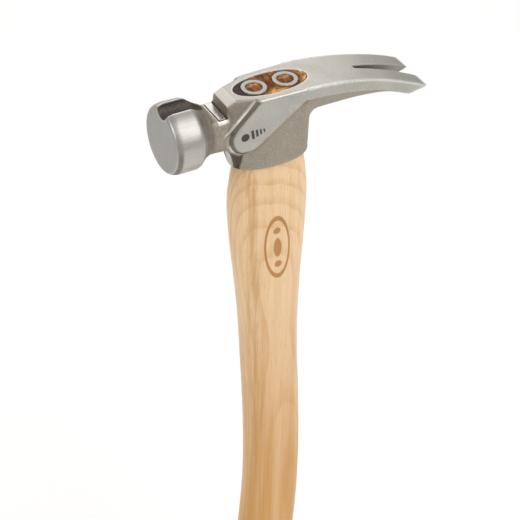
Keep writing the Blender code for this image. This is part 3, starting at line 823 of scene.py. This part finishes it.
def end_grain_material(s):
    """Sawn end of the handle in the eye: light grain, crushed dark around and between
    the rings and on the near half of their cores, and smeared with resin at the front."""
    n = Nodes("hickory_end_grain")
    x, y, _ = n.split()
    blot = n.noise(n.coords, 330, 4, 0.6)
    grain = n.noise(n.mapped(scale=(260, 1300, 1)), 1.0, 3, 0.6)
    cross = n.noise(n.mapped(scale=(900, 160, 1)), 1.0, 2, 0.5)
    dark = n.steps(blot, 0.44, 0.60, 0.0, 0.65)
    for centre in RING_X:
        r = n.hypot(n.minus(x, centre), y)
        out = n.times(n.falls(r, RING_R * 1.06, RING_R * 1.55),
                      n.steps(r, RING_R * 0.75, RING_R * 0.8))
        dark = n.larger(dark, n.times(out, n.steps(blot, 0.3, 0.55, 0.55, 1.0)))
        half = n.steps(n.plus(y, n.times(grain, 0.003)), 0.0016, 0.0044, 1.0, 0.15)
        core = n.times(n.falls(r, RING_R * 0.60, RING_R * 0.66), half)
        dark = n.larger(dark, n.times(core, n.steps(cross, 0.35, 0.6, 0.72, 1.0)))
    middle = n.unsigned(n.minus(x, sum(RING_X) / 2))
    band = n.times(n.falls(middle, 0.003, 0.0055), n.steps(y, -0.006, -0.0035, 0.1, 1.0))
    dark = n.larger(dark, n.times(band, n.steps(cross, 0.3, 0.6, 0.5, 1.0)))
    light = n.blend(n.steps(grain, 0.3, 0.7), s.end_light,
                    (s.end_light[0], 1.28 * s.end_light[1], 1.7 * s.end_light[2]))
    base = n.blend(n.math('POWER', dark, 0.6), light, s.end_dark)
    smear = n.plus(x, n.times(y, 0.75))
    base = n.blend(n.steps(smear, -0.0015, 0.0005, 0.95, 0.0), base, SMEARED)
    bump = n.plus(n.times(grain, 0.4), n.times(dark, -0.5))
    return n.finish(base, n.steps(blot, 0.3, 0.7, 0.6, 0.75), 0.0, bump, 0.5, 0.0003,
                    Specular_IOR_Level=0.12)


def ring_material(s):
    """Sawn tube steel with cloudy rub marks and slanting scratches."""
    n = Nodes("ring_steel")
    rub = n.noise(n.coords, 900, 4, 0.6)
    scratch = n.noise(n.mapped(scale=(300, 2400, 300), turn=(0, 0, 0.5)), 1.0, 2, 0.5)
    base = n.blend(n.steps(rub, 0.3, 0.7), shade(s.ring_steel, 0.82), shade(s.ring_steel, 1.1))
    base = n.blend(n.steps(scratch, 0.62, 0.72, 0.0, 0.5), base, SCRATCHED)
    return n.finish(base, n.steps(rub, 0.3, 0.7, 0.42, 0.55), 1.0, scratch, 0.2, 0.0001)


def resin_material(s):
    """Dull black-brown resin with soft lumps."""
    n = Nodes("black_resin")
    lump = n.noise(n.coords, 420, 4, 0.6)
    base = n.blend(n.steps(lump, 0.35, 0.75), s.resin, shade(s.resin, 2.6))
    return n.finish(base, n.steps(lump, 0.3, 0.7, 0.55, 0.7), 0.0, lump, 0.6, 0.0004,
                    Specular_IOR_Level=0.15)


def magnet_material(s):
    """Bright plating, rubbed along the bar, with darker spots."""
    n = Nodes("magnet_steel")
    rub = n.noise(n.mapped(scale=(1500, 120, 900)), 1.0, 3, 0.6)
    spot = n.noise(n.coords, 700, 3, 0.5)
    base = n.blend(n.steps(rub, 0.3, 0.7), shade(s.magnet, 0.8), shade(s.magnet, 1.1))
    base = n.blend(n.steps(spot, 0.6, 0.7, 0.0, 0.5), base, BLOTCH)
    return n.finish(base, n.steps(rub, 0.3, 0.7, 0.2, 0.34), 1.0, rub, 0.15, 0.0001)


def floor_material(s):
    """Pale and nearly even, with the faintest glow."""
    n = Nodes("studio_floor")
    cloud = n.noise(n.coords, 3.0, 3, 0.5)
    base = n.blend(n.steps(cloud, 0.3, 0.7), shade(s.floor, 0.985), s.floor)
    return n.finish(base, n.steps(cloud, 0.3, 0.7, 0.7, 0.8), 0.0, Emission_Strength=0.03)


# ---- operators -----------------------------------------------------------
# Soft square lights: name, place, what it aims at, side and power.
LIGHTS = (("soft_key", (0.75, -1.15, 1.70), (0, 0, 0.35), 2.0, 23.5),
          ("soft_back", (0.40, 1.55, 1.65), (0, 0, 0.42), 2.4, 19),
          ("soft_left", (-1.25, -0.35, 1.25), (0, 0, 0.4), 0.8, 6))
ROOM_TONE = (1.0, 0.99, 0.97, 1.0)
SENSOR, CLIP_START = 36.0, 0.01
# Angles past which an edge of the handle, or of a ring, is drawn sharp.
HANDLE_SHARP, RING_SHARP = math.radians(34), math.radians(50)
END_DEPTH = 0.02  # faces this near the top that look up are the sawn end


class HAMMER_OT_stage(bpy.types.Operator):
    """Pale floor, soft light and the camera"""
    bl_idname = "hammer.stage"
    bl_label = "Stage"

    def execute(self, context):
        s = context.scene.hammer_stage
        h, z = s.floor_size / 2, CAD_LOW.z
        floor = put("studio_floor", [(-h, -h, z), (h, -h, z), (h, h, z), (-h, h, z)],
                    [(0, 1, 2, 3)])
        floor.data.materials.append(floor_material(s))
        cam = bpy.data.cameras.new("camera")
        cam.lens, cam.sensor_width, cam.clip_start = s.lens, SENSOR, CLIP_START
        view = bpy.data.objects.new("camera", cam)
        view.location, view.rotation_euler = s.place, s.turn
        context.scene.collection.objects.link(view)
        context.scene.camera = view
        for name, where, aim, size, power in LIGHTS:
            light = bpy.data.lights.new(name, 'AREA')
            light.size, light.energy = size, power
            ob = bpy.data.objects.new(name, light)
            ob.location = where
            ob.rotation_euler = (Vector(where) - Vector(aim)).to_track_quat('Z', 'Y').to_euler()
            context.scene.collection.objects.link(ob)
        world = bpy.data.worlds.new("studio")
        context.scene.world = world
        world.use_nodes = True
        back = world.node_tree.nodes["Background"]
        back.inputs["Color"].default_value = ROOM_TONE
        back.inputs["Strength"].default_value = s.sky
        context.scene.view_settings.view_transform = 'Standard'
        return {'FINISHED'}


class HAMMER_OT_head(bpy.types.Operator):
    """The forged head, read from its distances on a grid"""
    bl_idname = "hammer.head"
    bl_label = "Forged head"

    def execute(self, context):
        s = context.scene.hammer_head
        sizes = (s.edge / MM + 0.1, s.claw_fillet / MM, s.neck_fillet / MM)

        def distance(x, y, z):
            return head_distance(x, y, z, *sizes)
        head, p = head_mesh(context, s, distance)
        mesh = head.data
        _, grad = slope_of(distance, p, 0.05)
        normal = grad / np.maximum(np.linalg.norm(grad, axis=1, keepdims=True), 1e-6)
        mesh.shade_smooth()
        for name, values in head_marks(p, normal, distance).items():
            attribute(mesh, name, values)
        mesh.normals_split_custom_set_from_vertices(normal)
        mesh.materials.append(steel_material(s))
        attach(head, "root")
        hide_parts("head")
        return {'FINISHED'}


class HAMMER_OT_handle(bpy.types.Operator):
    """The hickory handle with its sawn end in the eye"""
    bl_idname = "hammer.handle"
    bl_label = "Handle"

    def execute(self, context):
        s = context.scene.hammer_handle
        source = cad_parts["handle"].data
        flat = read(source.vertices, "co")
        corners = np.empty(len(source.polygons) * 3, np.int32)
        source.loops.foreach_get("vertex_index", corners)
        _, first, same = np.unique(np.round(flat, 7), axis=0, return_index=True,
                                   return_inverse=True)
        faces = same.reshape(-1)[corners].reshape(-1, 3)
        handle = put("hickory_handle", flat[first], faces)
        mesh = handle.data
        mesh.shade_smooth()
        mesh.set_sharp_from_angle(angle=HANDLE_SHARP)
        mesh.materials.append(hickory_material(s))
        mesh.materials.append(end_grain_material(s))
        height = read(mesh.polygons, "center")[:, 2]
        sawn = (height > TOP_Z - END_DEPTH) & (read(mesh.polygons, "normal")[:, 2] > 0.9)
        mesh.polygons.foreach_set("material_index", sawn.astype(np.int32))
        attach(handle, "root")
        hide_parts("handle")
        return {'FINISHED'}


class HAMMER_OT_fittings(bpy.types.Operator):
    """Tubular ring wedges, resin and magnet"""
    bl_idname = "hammer.fittings"
    bl_label = "Rings, resin and magnet"

    def execute(self, context):
        s = context.scene.hammer_fittings
        steel = ring_material(s)
        for node in ("ring_wedge_front", "ring_wedge_rear"):
            low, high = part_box(node)
            ring = turned_ring("rounded_" + node, low, high, s.ring_edge)
            ring.data.materials.append(steel)
            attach(ring, "root")
            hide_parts(node)
        for node, material in (("eye_filler", resin_material(s)),
                               ("nail_magnet", magnet_material(s))):
            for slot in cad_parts[node].material_slots:
                slot.material = material
        return {'FINISHED'}


class HAMMER_PT_panel(bpy.types.Panel):
    bl_idname = "HAMMER_PT_panel"
    bl_label = "Claw Hammer"
    bl_space_type = 'VIEW_3D'
    bl_region_type = 'UI'
    bl_category = "Hammer"

    def draw(self, context):
        for operator, settings in zip(OPERATORS, SETTINGS):
            box = self.layout.box()
            box.operator(operator.bl_idname)
            group = getattr(context.scene, settings[0])
            for name in settings[1].__annotations__:
                box.prop(group, name)


OPERATORS = (HAMMER_OT_stage, HAMMER_OT_head, HAMMER_OT_handle, HAMMER_OT_fittings)
SETTINGS = (("hammer_stage", HammerStageSettings), ("hammer_head", HammerHeadSettings),
            ("hammer_handle", HammerHandleSettings), ("hammer_fittings", HammerFittingSettings))


def register():
    for name, group in SETTINGS:
        bpy.utils.register_class(group)
        setattr(bpy.types.Scene, name, PointerProperty(type=group))
    for operator in OPERATORS:
        bpy.utils.register_class(operator)
    bpy.utils.register_class(HAMMER_PT_panel)


def unregister():
    bpy.utils.unregister_class(HAMMER_PT_panel)
    for operator in reversed(OPERATORS):
        bpy.utils.unregister_class(operator)
    for name, group in reversed(SETTINGS):
        delattr(bpy.types.Scene, name)
        bpy.utils.unregister_class(group)


def main():
    register()
    for operator in (bpy.ops.hammer.stage, bpy.ops.hammer.head, bpy.ops.hammer.handle,
                     bpy.ops.hammer.fittings):
        operator()


if __name__ == "__main__":
    main()
